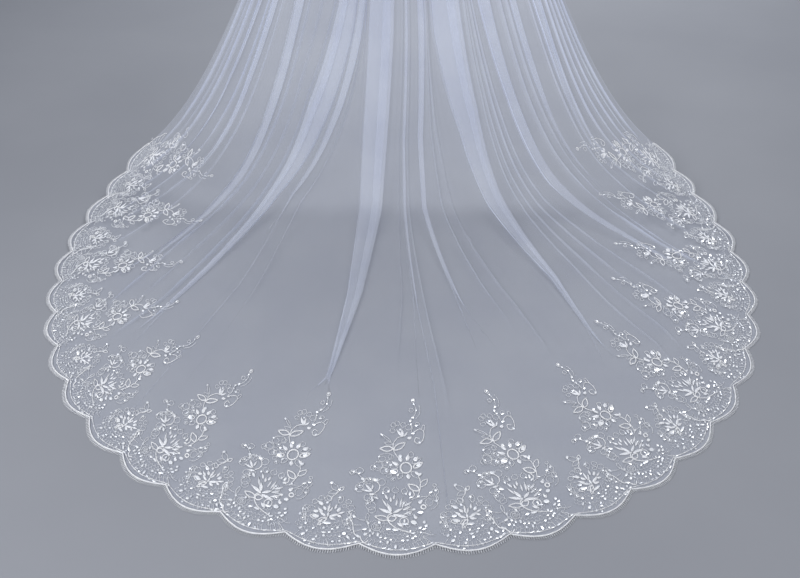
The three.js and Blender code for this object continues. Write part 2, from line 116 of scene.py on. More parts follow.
# How the motifs lie, where the cloth is drawn in and slants at the sides
LAY = {
    "scallop": (0, 2, 4, 6, 8, 10, 12, 14, 16, 18, 20, 22, 24, 26, 28),
    "shift": (3, 3, 11, 9, 16, 10, -2, -2, -4, 10, -8, -16, -11, -28, -10),
    "lean": (-0.03, -0.035, -0.08, -0.14, -0.255, -0.232, -0.106, 0, 0.06, 0.13, 0.217, 0.25, 0.15,
             0.2, 0.1),
    "length": (0.7, 0.8, 0.76, 0.735, 0.78, 0.88, 0.97, 1, 0.97, 0.905, 0.89, 0.85, 0.78, 0.72, 0.7),
}


def motif_point(count, across, inward):
    """Plan of points charted across and inwards, in m, in the scallop about a count."""
    x, y, tx, ty = (float(v) for v in hem_frame(count))
    shift, lean, length = (np.interp(count - 0.5, LAY["scallop"], LAY[key])
                           for key in ("shift", "lean", "length"))
    s = across + shift / 1000 + lean * inward
    d = inward * length
    return x + tx * s - ty * d, y + ty * s + tx * d


def hem_radius(az):
    s = np.sin(az) / HEM["half_width"]
    c = np.cos(az) / HEM["half_length"]
    e = HEM["centre_y"] / HEM["half_length"]
    a = s * s + c * c
    b = e * c
    return (-b + np.sqrt(b * b - a * (e * e - 1))) / a


# Hang

def bell(r, az):
    """Height of the unfolded cloth above the floor."""
    turn = az / (1 + (np.abs(az) / BELL["limit"]) ** 6) ** (1 / 6)
    foot = BELL["foot"] + BELL["spread"] * turn * turn
    bow = BELL["bow"] + BELL["side_bow"] * (az / END_AZ) ** 4
    part = np.logaddexp(0, (foot - r) / BELL["round"]) / np.logaddexp(0, foot / BELL["round"])
    return (DROP - CLOTH_TOP) * part ** bow


def lift(x, y):
    return bell(np.hypot(x, y), np.arctan2(x, -y))


lace_spots = [motif_point(count, 0, d)
              for count in np.arange(0, SCALLOPS + 0.1, 0.5) for d in (0, 0.1, 0.2, 0.3, 0.4)]


def lace_distance(x, y):
    flat = np.stack([np.ravel(x), np.ravel(y)], 1)
    near = np.full(len(flat), np.inf)
    for spot in lace_spots:
        near = np.minimum(near, np.hypot(flat[:, 0] - spot[0], flat[:, 1] - spot[1]))
    return near.reshape(np.shape(x))


# Round clear places that a motif takes, in its scallop's frame: across, inwards and radius in m
SPIRE_PLACES = ((0, 0.04, 0.070), (-0.01, 0.10, 0.105), (-0.03, 0.17, 0.070), (0.01, 0.22, 0.055),
                (-0.01, 0.28, 0.050), (0.01, 0.34, 0.045), (0.03, 0.38, 0.030), (0.03, 0.42, 0.025))
ROSETTE_PLACES = ((0, 0.03, 0.070), (0, 0.08, 0.065), (0, 0.12, 0.040), (0, 0.15, 0.030))


def lace_clearance(x, y):
    """Distance in plan from the motifs themselves."""
    near = np.full(np.shape(x), np.inf)
    for i in range(SCALLOPS):
        for s, d, radius in (SPIRE_PLACES, ROSETTE_PLACES)[i % 2]:
            cx, cy = motif_point(i + 0.5, s, d)
            near = np.minimum(near, np.hypot(x - cx, y - cy) - radius)
    return near


# Folds: azimuth in degrees and width in mm at stations counted out from the comb's axis
STATIONS = (0.150, 0.450, 0.650, 0.900, 1.300, 1.700)
FOLDS = [
    # kind, lean, plain columns before it, spread when let out, azimuths, widths
    ("ridge", 1, 2, 1.6, (-47, -47, -47, -47, -47, -47), (5, 16, 14, 9, 0, 0)),
    ("ridge", 1, 0, 1.6, (-43, -43, -42.5, -41.7, -41.7, -41.7), (5, 16, 14, 9, 0, 0)),
    ("roll", 1, 1, 2.2, (-38, -36.8, -35.2, -33.6, -32.5, -32.5), (8, 26, 26, 22, 8, 0)),
    ("pleat", -1, 2, 2.6, (-20.5, -21.2, -24, -25.2, -25, -25), (9, 36, 44, 26, 14, 6)),
    ("ridge", 1, 0, 1.2, (-15.5, -16.4, -19.4, -21.8, -20.5, -20.5), (5, 18, 16, 10, 0, 0)),
    ("pleat", 1, 2, 3, (-8.5, -8, -7.3, -5.9, -5.6, -6.3), (22, 68, 68, 60, 36, 6)),
    ("ridge", 1, 1, 1, (2, 2, 0.6, 0.6, 1.6, 2), (4, 9, 9, 9, 8, 0)),
    ("ridge", 1, 0, 1.6, (8.5, 8, 5.2, 4.4, 6.5, 8.7), (5, 16, 14, 12, 9, 0)),
    ("pleat", 1, 2, 3, (17.5, 17.8, 19, 18.2, 19, 18.2), (22, 65, 54, 45, 16, 6)),
    ("roll", 1, 2, 2.2, (30.3, 30.4, 31, 30.8, 33.5, 35), (8, 22, 20, 28, 13, 0)),
    ("ridge", 1, 1, 1.4, (39, 39, 38.5, 38, 38, 38), (5, 13, 12, 9, 0, 0)),
    ("ridge", 1, 1, 1.6, (45.5, 45.5, 45, 43, 42.5, 42.5), (5, 15, 15, 9, 0, 0)),
]
LAST_GAP = 2
# Sections across a fold: place when closed, place when let out, height
SECTIONS = {
    "ridge": ((-0.6, -1, 0), (-0.5, -0.6, 0.7), (0.45, -0.2, 1), (0.5, 0.1, 0.6), (-0.4, 0.4, 0.35),
              (-0.45, 0.7, 0.02), (0.6, 1, 0)),
    "roll": ((-0.6, -1, 0), (-0.5, -0.6, 0.8), (0.45, -0.2, 1), (0.5, 0.1, 0.6), (-0.4, 0.4, 0.4),
             (-0.45, 0.7, 0.02), (0.6, 1, 0)),
    "pleat": ((-0.72, -1, 0), (-0.5, -0.72, 0.82), (0.48, -0.44, 1), (0.5, -0.36, 0.82),
              (0.1, -0.1, 0.76), (0.08, -0.02, 0.6), (0.34, 0.16, 0.56), (0.36, 0.24, 0.38),
              (-0.48, 0.5, 0.22), (-0.5, 0.62, 0.02), (0.66, 1, 0)),
}
# Rise of a fold where it hangs and where it lies: for each m of width, a pleat's in m
RISE = {"ridge": (0.7, 0.35), "roll": (0.6, 0.3), "pleat": (0.017, 0.008)}
TYPICAL_STATION = 0.900  # a fold's azimuth there gives it its radius at the hem
SHUT_WIDTH = 0.012  # a fold that is narrower is partly let out
LEAST_RADIUS = 0.040
HUNG_HEIGHT = 0.160  # above the floor, from which a fold has all of its hanging rise
ROWS = (0, 0.028, 0.065, 0.11, 0.16, 0.215, 0.275, 0.34, 0.41, 0.485, 0.56, 0.635, 0.71, 0.79,
        0.875, 0.955)


def columns_of_cloth():
    """The CAD's columns from left to right: an edge, plain ones and those of each fold."""
    found = [("edge", -1, 0)]
    for k, (kind, lean, before, *_) in enumerate(FOLDS):
        found += [("plain", k - 1, i / (before + 1)) for i in range(1, before + 1)]
        count = len(SECTIONS[kind])
        found += [("fold", k, m if lean > 0 else count - 1 - m) for m in range(count)]
    found += [("plain", len(FOLDS) - 1, i / (LAST_GAP + 1)) for i in range(1, LAST_GAP + 1)]
    return found + [("edge", 1, 0)]


def tuck(r):
    """How far the gathers hold the cloth."""
    return 1 - smooth(GATHER["from"], GATHER["reach"], r)


def fold_place(k, m, share):
    """Azimuth and rise of one section of a fold, for an array of shares of the way to the hem."""
    kind, lean, _, spread, azimuths, widths = FOLDS[k]
    r = hem_radius(math.radians(np.interp(TYPICAL_STATION, STATIONS, azimuths))) * share
    width = np.interp(r, STATIONS, widths) / 1000
    shut = smooth(0, SHUT_WIDTH, width) * (1 - tuck(r))
    closed, let_out, high = SECTIONS[kind][m]
    centre = np.radians(np.interp(r, STATIONS, azimuths))
    wide = closed * width / np.maximum(r, LEAST_RADIUS)
    offset = np.radians(let_out * spread) * (1 - shut) + wide * shut
    hung, laid = RISE[kind]
    hanging = smooth(0, HUNG_HEIGHT, bell(r, centre))
    scale = 1 if kind == "pleat" else width
    return centre + lean * offset, high * scale * (laid + (hung - laid) * hanging) * shut


def coarse_cloth(share):
    """Azimuth and rise of every CAD column at the given shares."""
    places = columns_of_cloth()

    def end(k, side):
        kind, lean = FOLDS[k][:2]
        last = (side > 0) == (lean > 0)
        return fold_place(k, len(SECTIONS[kind]) - 1 if last else 0, share)[0]

    az = np.zeros((len(share), len(places)))
    rise = np.zeros_like(az)
    for c, (what, k, m) in enumerate(places):
        if what == "edge":
            az[:, c] = k * END_AZ
        elif what == "fold":
            az[:, c], rise[:, c] = fold_place(k, m, share)
        else:
            low = end(k, 1) if k >= 0 else -END_AZ
            high = end(k + 1, -1) if k + 1 < len(FOLDS) else END_AZ
            az[:, c] = low + (high - low) * m
    return az, rise


def between(values, at):
    """Catmull-Rom curve through the columns of an array, at places counted in columns."""
    n = values.shape[1]
    i = np.minimum(at.astype(int), n - 2)
    t = at - i
    padded = np.concatenate([2 * values[:, :1] - values[:, 1:2], values,
                             2 * values[:, -1:] - values[:, -2:-1]], 1)
    a, b, c, d = (padded[:, i + k] for k in range(4))
    return b + 0.5 * t * (c - a + t * (2 * a - 5 * b + 4 * c - d + t * (3 * (b - c) + d - a)))


# Fine folds that the CAD leaves out: soft ridges between its folds. The streaks are the plain
# ones in the photo, at the azimuths that they have out on the floor.
STREAKS = (
    # azimuth in degrees, where it has nearly died out in m from the comb's axis, height and
    # width in mm
    (-53, 1.70, 10, 3.2), (-51.3, 1.25, 6, 3.6), (-49.6, 1.90, 12, 3.2), (-46.7, 1.40, 9, 3.6),
    (-44.2, 1.95, 10, 2.8), (-41.8, 1.60, 10, 3.2), (-39.3, 1.95, 9, 3.2), (-33.4, 1.80, 9, 3.2),
    (-31.7, 2.05, 10, 2.8), (-29, 1.55, 9, 3.2), (-26.3, 1.90, 10, 3.2), (-17.4, 1.50, 8, 3.2),
    (-0.1, 1.60, 7, 2.8), (2.8, 1.75, 8, 2.8), (10.6, 1.45, 8, 2.8), (12.4, 1.60, 7, 2.8),
    (22.5, 1.80, 8, 2.8), (24.2, 1.85, 9, 3.2), (26.2, 1.90, 9, 3.2), (28.2, 1.70, 8, 2.8),
    (35.1, 1.70, 10, 2.8), (36.6, 1.95, 8, 3.2),
    (41.5, 1.95, 10, 3.2), (44, 1.55, 8, 3.2), (46.7, 1.95, 10, 2.8), (48.6, 1.60, 9, 3.2),
    (50.5, 1.85, 10, 3.2), (52, 1.40, 9, 3.6), (53.6, 1.75, 10, 3.2),
)
FINE_GROUPS = (
    # azimuths in degrees, how many, start, least and greatest end in m, height and width in mm
    (-55.5, 55.5, 60, 0.22, 0.80, 1.50, 4.4, 4.0),
    (-54, -10, 28, 0.70, 1.30, 2.10, 4.4, 3.8),
    (-10, 12, 12, 0.80, 1.30, 2.10, 3.0, 3.6),
    (12, 54, 30, 0.70, 1.30, 2.10, 4.4, 3.8),
)
FINE_SPREAD = {"place": (0.1, 0.9), "start": (0.8, 1.5), "height": (0.3, 1.1), "width": (0.7, 1.3)}
FINE_START = 0.22  # of the streaks
FINE_SWELL = 0.2  # the length in which a fine fold grows to its height
FINE_FADE = 0.38  # the length in which it dies out
STREAK_TAIL = 0.15  # how far a streak goes on past the end in its table
FINE_ROUND = 1.6  # the exponent of its section
FAR = 9  # widths, or radians, past which nothing counts
IN_A_FOLD = 0.0005  # least rise of a column that one of the CAD's folds takes
COLUMN_REACH = 0.02  # radians in which a fine fold has to find a plain column
UNDER_LACE = 0.7  # of its height that it keeps under the lace
BESIDE_LACE = (0.005, 0.060)  # from the motifs, where it comes back to its height
UNDER_FROM = (math.radians(14), math.radians(24))  # azimuths from which it runs on under the lace
# Shares of the way to the hem between which it dies out, and so does what rides on it
FINE_ENDS = {"beside": (0.88, 0.95), "under": (0.86, 0.94), "ridden": (0.94, 0.955)}


def fine_folds():
    found = [(math.radians(az), FINE_START, end + STREAK_TAIL, height / 1000, width / 1000)
             for az, end, height, width in STREAKS]
    for low, high, count, start, least, most, height, width in FINE_GROUPS:
        for k in range(count):
            at = low + (high - low) * (k + rng.uniform(*FINE_SPREAD["place"])) / count
            found.append((math.radians(at), start * rng.uniform(*FINE_SPREAD["start"]),
                          rng.uniform(least, most),
                          height / 1000 * rng.uniform(*FINE_SPREAD["height"]),
                          width / 1000 * rng.uniform(*FINE_SPREAD["width"])))
    return found


def fine_rise(x, y, rise, az, share):
    """Rise in the fine folds, each along a column of the grid that is in none of the CAD's folds."""
    r = np.hypot(x, y)
    steps = np.sqrt(np.diff(x) ** 2 + np.diff(y) ** 2 + np.diff(rise) ** 2)
    run = np.concatenate([np.zeros((len(x), 1)), np.cumsum(steps, 1)], 1)
    row = streak_row(share)
    taken = np.where(np.abs(rise[row]) > IN_A_FOLD, FAR, 0)
    fine = np.zeros_like(r)
    for place, start, end, height, width in fine_folds():
        column = np.argmin(np.abs(az[row] - place) + taken)
        if abs(az[row, column] - place) > COLUMN_REACH:
            continue
        across = np.abs(run - run[:, column:column + 1]) / width
        along = smooth(start, start + FINE_SWELL, r) * (1 - smooth(end - FINE_FADE, end, r))
        fine += height * along * np.exp(-np.minimum(across, FAR) ** FINE_ROUND)
    return fine


def kept_fine(x, y, az, share):
    """Share of a fine fold's height that is kept: at the sides it runs on under the lace."""
    clear = smooth(*BESIDE_LACE, lace_clearance(x, y))
    side = smooth(*UNDER_FROM, np.abs(az))
    under = UNDER_LACE * side * (1 - smooth(*FINE_ENDS["under"], share))
    return clear * (1 - smooth(*FINE_ENDS["beside"], share)) * (1 - under) + under


# The fine folds' rise on an even grid of azimuths and shares of the way to the hem
RIDDEN = {"azimuths": np.linspace(-END_AZ, END_AZ, 4001), "shares": None, "rise": None}


def keep_ridden(share, az, fine):
    """Fill that grid, for what lies on the cloth."""
    RIDDEN["shares"] = share
    RIDDEN["rise"] = np.array([np.interp(RIDDEN["azimuths"], np.maximum.accumulate(row), rise)
                               for row, rise in zip(az, fine)])


def ridden(x, y):
    """Rise of the fine folds under points in plan."""
    az = np.arctan2(x, -y)
    share = np.hypot(x, y) / hem_radius(az)
    grid = RIDDEN["rise"]
    row = np.clip(np.interp(share, RIDDEN["shares"], np.arange(len(grid))), 0, len(grid) - 1.001)
    column = np.clip((az / END_AZ + 1) / 2 * (grid.shape[1] - 1), 0, grid.shape[1] - 1.001)
    i, j = row.astype(int), column.astype(int)
    u, v = row - i, column - j
    near = grid[i, j] * (1 - v) + grid[i, j + 1] * v
    far = grid[i + 1, j] * (1 - v) + grid[i + 1, j + 1] * v
    return (near * (1 - u) + far * u) * (1 - smooth(*FINE_ENDS["ridden"], share))


WRINKLE_COUNT = 120
WRINKLE_TURN = 0.45  # rms, in radians, from straight inwards
WRINKLE = {"long": (0.03, 0.10), "wide": (0.005, 0.009), "height": (0.0008, 0.0024), "bend": (-3, 3)}
WRINKLED = (0.22, 0.80)  # inwards from the hem


def floor_wrinkles():
    """Short soft creases of the cloth that lies on the floor, inside the lace."""
    found = []
    for _ in range(WRINKLE_COUNT):
        count = rng.uniform(1, SCALLOPS - 1)
        x, y, tx, ty = (float(v) for v in hem_frame(count))
        inward = rng.uniform(*WRINKLED)
        turn = rng.normal(0, WRINKLE_TURN)
        nx, ny = -ty, tx
        found.append({
            "x": x + nx * inward, "y": y + ny * inward,
            "ax": nx * math.cos(turn) - ny * math.sin(turn),
            "ay": nx * math.sin(turn) + ny * math.cos(turn),
            **{key: rng.uniform(*limits) for key, limits in WRINKLE.items()},
        })
    return found


WRINKLES = floor_wrinkles()


def relief(x, y):
    """Rise of the cloth in its short wrinkles, along its normal."""
    rise = np.zeros(np.shape(x))
    for w in WRINKLES:
        dx, dy = x - w["x"], y - w["y"]
        near = np.abs(dx) + np.abs(dy) < 3 * w["long"]
        dx, dy = dx[near], dy[near]
        a = (dx * w["ax"] + dy * w["ay"]) / w["long"]
        b = (-dx * w["ay"] + dy * w["ax"]) / w["wide"] + w["bend"] * a * a
        rise[near] += w["height"] * np.exp(-a * a * a * a - b * b)
    return rise


def bell_frame(r, az):
    """Outward and upward parts of the cloth's normal in the plane through the comb's axis."""
    step = 0.001
    slope = (bell(r + step, az) - bell(r, az)) / step
    size = np.hypot(slope, 1)
    return -slope / size, 1 / size


def surface(x, y, above):
    """Points so far above the cloth, over plan points where it has only wrinkles."""
    r = np.hypot(x, y)
    az = np.arctan2(x, -y)
    out, up = bell_frame(r, az)
    rise = relief(x, y) + above
    return np.stack([x + rise * out * np.sin(az), y - rise * out * np.cos(az),
                     lift(x, y) + rise * up - DROP + CLOTH], -1)


# Meshes

def mesh_object(name, points, faces, materials, shade=True):
    """A mesh from arrays of points and of faces with the same number of corners."""
    mesh = bpy.data.meshes.new(name)
    faces = np.asarray(faces, np.int32)
    mesh.vertices.add(len(points))
    mesh.vertices.foreach_set("co", np.asarray(points, np.float32).ravel())
    mesh.loops.add(faces.size)
    mesh.loops.foreach_set("vertex_index", faces.ravel())
    mesh.polygons.add(len(faces))
    mesh.polygons.foreach_set("loop_start", np.arange(0, faces.size, faces.shape[1], dtype=np.int32))
    mesh.update(calc_edges=True)
    mesh.validate()
    mesh.polygons.foreach_set("use_smooth", np.full(len(mesh.polygons), shade))
    made = bpy.data.objects.new(name, mesh)
    bpy.context.scene.collection.objects.link(made)
    for material in materials:
        mesh.materials.append(material)
    return made


def attribute(piece, name, values):
    layer = piece.data.attributes.new(name, "FLOAT", "POINT")
    layer.data.foreach_set("value", np.asarray(values, np.float32).ravel())


def grid_faces(rows, columns):
    a = (np.arange(rows - 1)[:, None] * columns + np.arange(columns - 1)[None, :]).ravel()
    return np.stack([a, a + 1, a + columns + 1, a + columns], 1)


def tube_faces(rings, sides, clockwise=False):
    """Faces of a tube of closed rings, which run clockwise or not round the way ahead."""
    ring = np.arange(rings - 1)[:, None] * sides
    a = (ring + np.arange(sides)[None, :]).ravel()
    b = (ring + (np.arange(sides)[None, :] + 1) % sides).ravel()
    corners = (a, b, b + sides, a + sides) if clockwise else (a, a + sides, b + sides, b)
    return np.stack(corners, 1)


# Materials

def material(name, colour, roughness, **sockets):
    made = bpy.data.materials.new(name)
    made.use_nodes = True
    shader = made.node_tree.nodes["Principled BSDF"]
    shader.inputs["Base Color"].default_value = (*colour, 1)
    shader.inputs["Roughness"].default_value = roughness
    for key, value in sockets.items():
        shader.inputs[key.replace("_", " ")].default_value = value
    return made, made.node_tree, shader


def texture(tree, kind, **inputs):
    """A texture in the piece's own coordinates."""
    place = tree.nodes.new("ShaderNodeTexCoord")
    made = tree.nodes.new("ShaderNodeTex" + kind)
    for key, value in inputs.items():
        made.inputs[key].default_value = value
    tree.links.new(place.outputs["Object"], made.inputs["Vector"])
    return made


def calculation(tree, operation, first, second):
    """A node that works out a number from a first number and a second node's output."""
    made = tree.nodes.new("ShaderNodeMath")
    made.operation = operation
    made.inputs[0].default_value = first
    tree.links.new(second, made.inputs[1])
    return made.outputs["Value"]


def mottle(tree, shader, low, high, scale, detail=4):
    """Base colour that varies softly between two colours."""
    noise = texture(tree, "Noise", Scale=scale, Detail=detail)
    ramp = tree.nodes.new("ShaderNodeValToRGB")
    ramp.color_ramp.elements[0].position = 0.35
    ramp.color_ramp.elements[0].color = (*low, 1)
    ramp.color_ramp.elements[1].position = 0.65
    ramp.color_ramp.elements[1].color = (*high, 1)
    tree.links.new(noise.outputs["Fac"], ramp.inputs["Fac"])
    tree.links.new(ramp.outputs["Color"], shader.inputs["Base Color"])
    return noise


def bump(tree, shader, texture, output, distance, strength):
    node = tree.nodes.new("ShaderNodeBump")
    node.inputs["Distance"].default_value = distance
    node.inputs["Strength"].default_value = strength
    tree.links.new(texture.outputs[output], node.inputs["Height"])
    tree.links.new(node.outputs["Normal"], shader.inputs["Normal"])


def tulle_material():
    """Sheer net: the more of it lies in the line across the cloth, the less shows through."""
    made, tree, shader = material("tulle", (0.72, 0.79, 0.98), 0.62, Sheen_Weight=0.6,
                                  Sheen_Roughness=0.35, Specular_IOR_Level=0.25)
    mottle(tree, shader, (0.70, 0.75, 0.90), (0.79, 0.84, 0.97), 7.0)
    layers = tree.nodes.new("ShaderNodeAttribute")
    layers.attribute_name = "layers"
    gaps = calculation(tree, "POWER", 1 - NET_COVER, layers.outputs["Fac"])
    cover = calculation(tree, "SUBTRACT", 1, gaps)
    tree.links.new(cover, shader.inputs["Alpha"])
    net = texture(tree, "Voronoi", Scale=700)
    net.feature = "DISTANCE_TO_EDGE"
    bump(tree, shader, net, "Distance", 0.0002, 0.6)
    return made


def thread_material(name, low, high, roughness, twist):
    """White thread with a fine twist."""
    made, tree, shader = material(name, high, roughness, Sheen_Weight=0.35, Sheen_Roughness=0.4)
    mottle(tree, shader, low, high, 60)
    wave = texture(tree, "Wave", Scale=twist, Distortion=1.5)
    wave.bands_direction = "DIAGONAL"
    bump(tree, shader, wave, "Fac", 0.0004, 0.8)
    return made


def sequin_material():
    made, tree, shader = material("sequin", (0.95, 0.96, 1.0), 0.24, Metallic=0.25,
                                  Coat_Weight=0.6, Coat_Roughness=0.10)
    mottle(tree, shader, (0.84, 0.87, 0.94), (0.98, 0.99, 1.0), 220, 1)
    return made


# Tulle

COLUMN = 0.0034  # between columns, where the cloth is MEASURED_AT from the comb's axis
MEASURED_AT = 0.65
LEAST_PARTS = 4  # between two of the CAD's columns
STREAK_COLUMNS = (-6.0, -4.2, -2.8, -1.6, -0.7, 0, 0.7, 1.6, 2.8, 4.2, 6.0)  # mm from a streak
FINE_ROWS = 84
HEM_ROWS = 6
NET_COVER = 0.165  # share of a single layer that is thread
FINEST = 0.4  # cloth taken up near the comb by gathers too fine to be modelled
MOST_LAYERS = 16
EDGE_LAYERS = 3  # the rolled edge at each side
GATHERED = (0.45, 1.0)  # from the comb's axis, where those fine gathers run out
FOLDS_CLEAR = (0.075, 0.190)  # from the lace's middle line, where the CAD's folds come back


def layers_of(points):
    """How much cloth lies behind each point of it, where a fold tilts it from the plain bell."""
    normals = np.cross(np.gradient(points, axis=1), np.gradient(points, axis=0))
    normals /= np.linalg.norm(normals, axis=2)[..., None] + 1e-12
    x, y = points[..., 0], points[..., 1]
    az = np.arctan2(x, -y)
    out, up = bell_frame(np.hypot(x, y), az)
    plain = np.stack([out * np.sin(az), -out * np.cos(az), up], -1)
    facing = np.abs((normals * plain).sum(2))
    layers = 1 / np.clip(facing, 1 / MOST_LAYERS, 1)
    layers += FINEST * (1 - smooth(*GATHERED, np.hypot(x, y)))
    layers[:, [0, -1]] = EDGE_LAYERS
    return layers


def streak_row(share):
    """The row at which the streaks' azimuths are given: out on the floor, except at the sides."""
    return int(np.argmax(share * hem_radius(END_AZ) > MEASURED_AT))


def fine_places(az, rise, share):
    """Places of the scene's columns, counted in the CAD's, close together at folds and streaks."""
    row = np.argmin(np.abs(share * hem_radius(0) - MEASURED_AT))
    long = np.hypot(np.diff(az[row]) * MEASURED_AT, np.diff(rise[row]))
    parts = np.maximum(LEAST_PARTS, np.ceil(long / COLUMN)).astype(int)
    places = [i + np.arange(n) / n for i, n in enumerate(parts)]
    laid = streak_row(share)
    flat = (rise[laid, :-1] == 0) & (rise[laid, 1:] == 0)
    wide = np.diff(az[laid]) * hem_radius(az[laid, 1:]) * share[laid]
    for streak, *_ in STREAKS:
        angle = math.radians(streak)
        inside = flat & (az[laid, :-1] < angle) & (angle < az[laid, 1:])
        for i in np.flatnonzero(inside):
            at = i + (angle - az[laid, i]) / (az[laid, i + 1] - az[laid, i])
            near = at + np.array(STREAK_COLUMNS) / 1000 / wide[i]
            places.append(near[(near > i) & (near < i + 1)])
    return np.unique(np.concatenate([*places, [len(parts)]]))


def tulle():
    share = np.interp(np.linspace(0, len(ROWS) - 1, FINE_ROWS), np.arange(len(ROWS)), ROWS)
    coarse_az, coarse_rise = coarse_cloth(share)
    at = fine_places(coarse_az, coarse_rise, share)
    az = np.clip(between(coarse_az, at), -END_AZ, END_AZ)
    rise = between(coarse_rise, at)
    r = hem_radius(az) * share[:, None]
    held = tuck(r)
    x = r * np.sin(az) + held * GATHER["half_width"] * (2 * at / at[-1] - 1)
    y = -r * np.cos(az) + held * GATHER["y"]
    wave = np.cos(2 * np.pi * at / GATHER["columns"])
    depth = GATHER["top_depth"] + (GATHER["depth"] - GATHER["top_depth"]) * smooth(0, GATHER["from"], r)
    rise = rise * smooth(*FOLDS_CLEAR, lace_distance(x, y))
    fine = fine_rise(x, y, rise, az, share) * kept_fine(x, y, az, share[:, None])
    keep_ridden(share, az, fine)
    rise += fine
    rise += wave * depth * held + relief(x, y)
    out, up = bell_frame(r, az)
    z = bell(r, az) + np.where(share[:, None] > 0, rise * up, 0) - DROP + CLOTH
    body = np.stack([x + rise * out * np.sin(az), y - rise * out * np.cos(az), z], -1)
    # From the last row out to the scalloped hem
    counts = np.linspace(0, SCALLOPS, HEM_STEPS // 2 + 1)
    count = np.interp(np.interp(az[-1], hem_azimuths, hem_lengths), place_of(counts), counts)
    ex, ey = edge_point(np.clip(count, 0, LAST), HEM_INSET)
    strip = []
    for k in range(1, HEM_ROWS + 1):
        t = k / HEM_ROWS
        strip.append(surface(x[-1] + (ex - x[-1]) * t, y[-1] + (ey - y[-1]) * t, 0))
    points = np.concatenate([body, np.array(strip)], 0)
    rows, columns = points.shape[:2]
    piece = mesh_object("tulle_cloth", points.reshape(-1, 3), grid_faces(rows, columns),
                        [tulle_material()])
    attribute(piece, "layers", layers_of(points))
    area = 0.0
    a, b, c, d = (points[:-1, :-1], points[:-1, 1:], points[1:, 1:], points[1:, :-1])
    for p, q, s in ((a, b, c), (a, c, d)):
        area += float(np.linalg.norm(np.cross(q - p, s - p), axis=2).sum() / 2)
    return piece, area


# Lace. A motif is charted in mm in its scallop's own frame: across to the viewer's right
# and inwards. This place in the charts is the middle of the line between the two cusps.
CHART_MIDDLE = (-11.0, 6.0)


def curve(points):
    """A smooth line through points, of five parts between two of them."""
    at = np.linspace(0, len(points) - 1, (len(points) - 1) * 5 + 1)
    return between(np.asarray(points, float).T, at).T


def turned(points, s, d, angle):
    """Points drawn along the inward direction, put at (s, d) and turned clockwise by degrees."""
    a = math.radians(angle)
    p = np.asarray(points, float)
    return np.stack([s + p[:, 0] * math.cos(a) + p[:, 1] * math.sin(a),
                     d - p[:, 0] * math.sin(a) + p[:, 1] * math.cos(a)], 1)


def heading(foot, tip):
    return math.degrees(math.atan2(tip[0] - foot[0], tip[1] - foot[1]))


def off(s, d, reach, angle):
    """The place that far from (s, d), at a bearing in degrees."""
    a = math.radians(angle)
    return s + reach * math.sin(a), d + reach * math.cos(a)


SKIPPED = 0.22  # share of the small scales that are left out


class Motif:
    """Threads as (points, width), satin petals as (left, middle, right), and sequins."""

    def __init__(self):
        self.threads = []
        self.petals = []
        self.sequins = []

    def thread(self, points, width):
        self.threads.append((np.asarray(points, float), width))

    def stem(self, points, width):
        self.thread(curve(points), width)

    def ring(self, s, d, radius, width, tall):
        t = np.linspace(0, 2 * np.pi, 7 + 2 * int(radius ** 0.6))
        self.thread(np.stack([s + radius * np.sin(t), d + radius * tall * np.cos(t)], 1), width)

    def oval(self, foot, tip, wide, width):
        """An outlined leaf."""
        long = math.dist(foot, tip)
        t = np.linspace(0, 1, 9)
        half = wide / 2 * np.sin(np.pi * t ** 0.85)
        edge = np.concatenate([np.stack([half, t * long], 1), np.stack([-half, t * long], 1)[::-1]])
        self.thread(turned(edge, *foot, heading(foot, tip)), width)

    def petal(self, foot, tip, wide):
        """A leaf filled with satin stitch."""
        long = math.dist(foot, tip)
        t = np.linspace(0, 1, 6)
        half = wide / 2 * np.sin(np.pi * (0.06 + 0.92 * t) ** 0.9)
        sides = [np.stack([k * half, t * long], 1) for k in (-1, 0, 1)]
        self.petals.append([turned(side, *foot, heading(foot, tip)) for side in sides])

    def sequin(self, s, d, angle, long, wide):
        self.sequins.append((s, d, angle, long, wide))

    def loops(self, s, d, reach, start, stop, count, size, width=1.2):
        """Small loops side by side round (s, d), with a sequin in every other one."""
        for k in range(count):
            angle = start + (stop - start) * (k + 0.5) / count
            foot = off(s, d, reach, angle)
            t = np.linspace(0, 2 * np.pi, 9)
            p = np.stack([size * 0.5 * np.sin(t), size * 0.65 * (1 - np.cos(t))], 1)
            self.thread(turned(p, *foot, angle), width)
            if k % 2 == 0:
                self.sequin(*turned([(0, size * 0.7)], *foot, angle)[0], angle, 5, 3.4)

    def scales(self, s, d, radii, start, stop, size, width=0.8):
        """Rows of small arcs like fish scales, in rings about (s, d)."""
        for row, radius in enumerate(radii):
            reach = math.radians(stop - start) * radius
            count = max(3, round(reach / size))
            for k in range(count - row % 2):
                angle = start + (stop - start) * (k + 0.5 + 0.5 * (row % 2)) / count
                at = off(s, d, radius, angle)
                t = np.linspace(-np.pi / 2, np.pi / 2, 6)
                if rng.random() < SKIPPED:
                    continue
                swell = rng.uniform(0.85, 1.35)
                arc = np.stack([size * 0.5 * np.sin(t), size * 0.5 * swell * np.cos(t)], 1)
                self.thread(turned(arc, *at, angle + rng.normal(0, 7)), width)

    def spokes(self, s, d, near, far, start, stop, count, width=1.0):
        """Straight bars that fan out towards the edge."""
        for k in range(count):
            angle = start + (stop - start) * k / (count - 1)
            self.thread([off(s, d, reach, angle) for reach in (near, far)], width)


